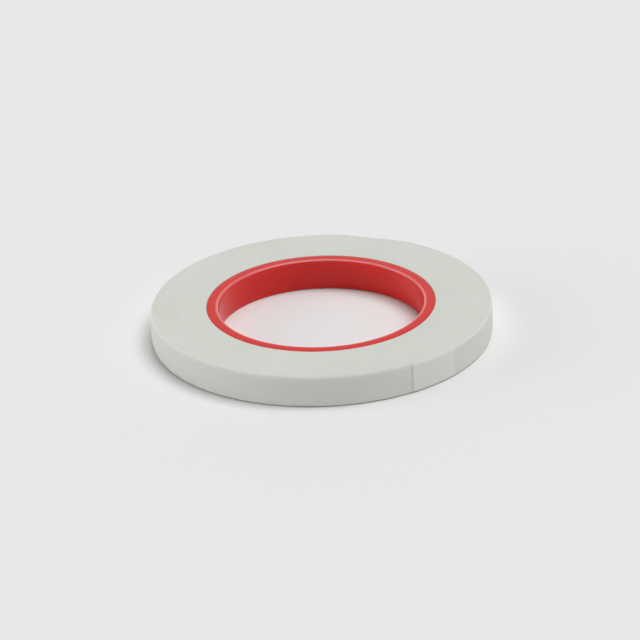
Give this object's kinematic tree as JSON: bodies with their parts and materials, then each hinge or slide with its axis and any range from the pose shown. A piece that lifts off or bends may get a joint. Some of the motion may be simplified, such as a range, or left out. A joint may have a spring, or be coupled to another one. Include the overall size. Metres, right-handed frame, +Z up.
{
  "type": "roll of glass cloth tape",
  "caption": "Narrow woven glass cloth adhesive tape wound on a plain moulded plastic ring core, with a loose end that peels off the roll.",
  "frame": {"origin": "on the bore's axis, in the plane of the face that the roll lies on", "axes": "+Z up along the bore's axis; the picture looks along +Y, with +X to the right"},
  "size_m": [0.1263, 0.1261, 0.012],
  "materials": {
    "core_plastic": "semi-gloss moulded red plastic",
    "glass_cloth": "plain woven glass yarn, off-white with a slight green cast",
    "adhesive": "clear tacky pressure-sensitive coat"
  },
  "bodies": {
    "roll": {"core": "core_plastic", "core_bond": "adhesive", "wound_turns": "glass_cloth", "outer_turn_adhesive": "adhesive", "outer_turn_cloth": "glass_cloth"},
    "end_tab": {"end_tab_adhesive": "adhesive", "end_tab_cloth": "glass_cloth"}
  },
  "joints": [
    {"name": "tab_peel", "type": "hinge", "parent": "roll", "child": "end_tab", "pos_m": [0.04707, -0.04219, 0.006], "axis": [0, 0, 1], "range_deg": [0, 150]}
  ]
}
